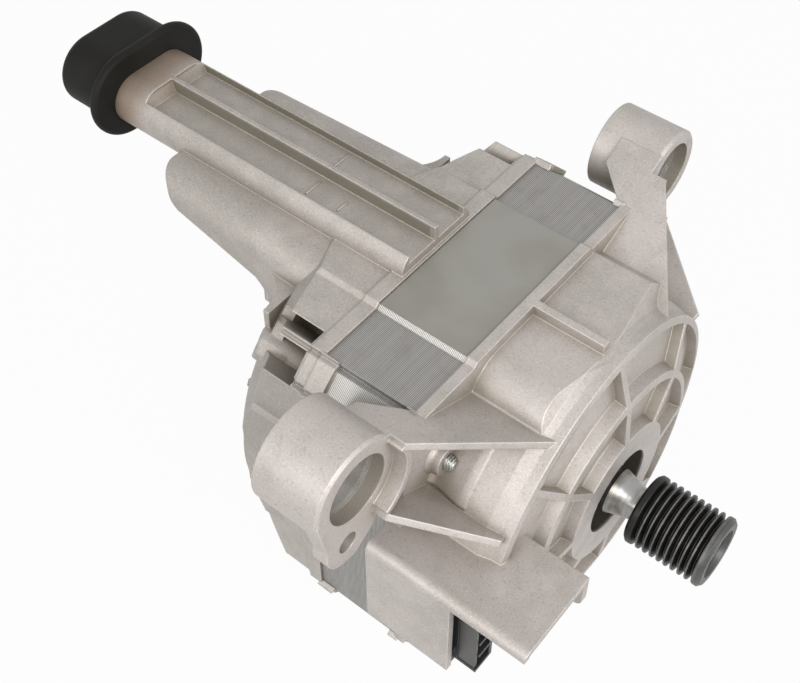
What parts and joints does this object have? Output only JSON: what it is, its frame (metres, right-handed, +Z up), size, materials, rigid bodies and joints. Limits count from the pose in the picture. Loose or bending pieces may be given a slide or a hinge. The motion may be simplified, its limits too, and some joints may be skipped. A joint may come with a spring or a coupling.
{
  "type": "washing machine motor",
  "caption": "Belt-drive washing machine motor with a grooved pulley, die-cast end shields, two mounting ears and a long support arm with a rubber boot.",
  "frame": {"origin": "on the shaft axis, in the middle of the pulley's belt track", "axes": "+X along the shaft out of the pulley's open end, +Z up, square to the stator's flat top, +Y completes a right-handed frame, with the connector on the -Y side"},
  "size_m": [0.2436, 0.1789, 0.1356],
  "materials": {
    "cast_aluminium": "satin, fine as-cast grain",
    "blank_foil": "satin foil with nothing on it",
    "laminated_steel": "stacked sheet edges",
    "boot_rubber": "matte moulded rubber",
    "seal_rubber": "matte",
    "black_pulley": "black coated steel, semi-gloss on the ribs",
    "ground_steel": "turned and ground",
    "bearing_steel": "ground and polished",
    "cage_steel": "pressed sheet",
    "spring_steel": "tempered strip",
    "zinc_screw": "bright zinc plated",
    "black_plastic": "moulded, fine texture",
    "grey_plastic": "moulded, smooth",
    "fan_plastic": "moulded",
    "cream_plastic": "moulded insulation",
    "copper_winding": "enamelled wire",
    "ferrite": "ground ferrite",
    "red_sleeve": "sleeving",
    "tinned_brass": "tinned"
  },
  "bodies": {
    "stator_frame": {"front_end_shield": "cast_aluminium", "rear_end_shield": "cast_aluminium", "arm_boot": "boot_rubber", "stator_core": "laminated_steel", "blank_label": "blank_foil", "front_slot_insulator": "cream_plastic", "rear_slot_insulator": "cream_plastic", "stator_coils": "copper_winding", "thermal_cutout": "cream_plastic", "phase_leads": "red_sleeve", "connector_housing": "black_plastic", "connector_side_plate": "grey_plastic", "connector_terminals": "tinned_brass", "through_screws": "zinc_screw", "front_bearing_outer_ring": "bearing_steel", "front_bearing_seals": "seal_rubber", "rear_bearing_outer_ring": "bearing_steel", "rear_bearing_seals": "seal_rubber", "preload_washer": "spring_steel"},
    "rotor": {"shaft": "ground_steel", "rotor_core": "laminated_steel", "rotor_magnets": "ferrite", "cooling_fan": "fan_plastic", "belt_pulley": "black_pulley", "front_bearing_inner_ring": "bearing_steel", "rear_bearing_inner_ring": "bearing_steel"},
    "front_ball_set": {"front_bearing_cage": "cage_steel", "front_bearing_balls": "bearing_steel"},
    "rear_ball_set": {"rear_bearing_cage": "cage_steel", "rear_bearing_balls": "bearing_steel"}
  },
  "joints": [
    {"name": "rotor_spin", "type": "hinge", "parent": "stator_frame", "child": "rotor", "pos_m": [0, 0, 0], "axis": [1, 0, 0], "continuous": true},
    {"name": "front_balls_turn", "type": "hinge", "parent": "stator_frame", "child": "front_ball_set", "pos_m": [-0.0325, 0, 0], "axis": [1, 0, 0], "continuous": true},
    {"name": "rear_balls_turn", "type": "hinge", "parent": "stator_frame", "child": "rear_ball_set", "pos_m": [-0.1115, 0, 0], "axis": [1, 0, 0], "continuous": true}
  ],
  "couplings": [
    {"joint": "front_balls_turn", "follows": "rotor_spin", "ratio": 0.382},
    {"joint": "rear_balls_turn", "follows": "rotor_spin", "ratio": 0.366}
  ]
}
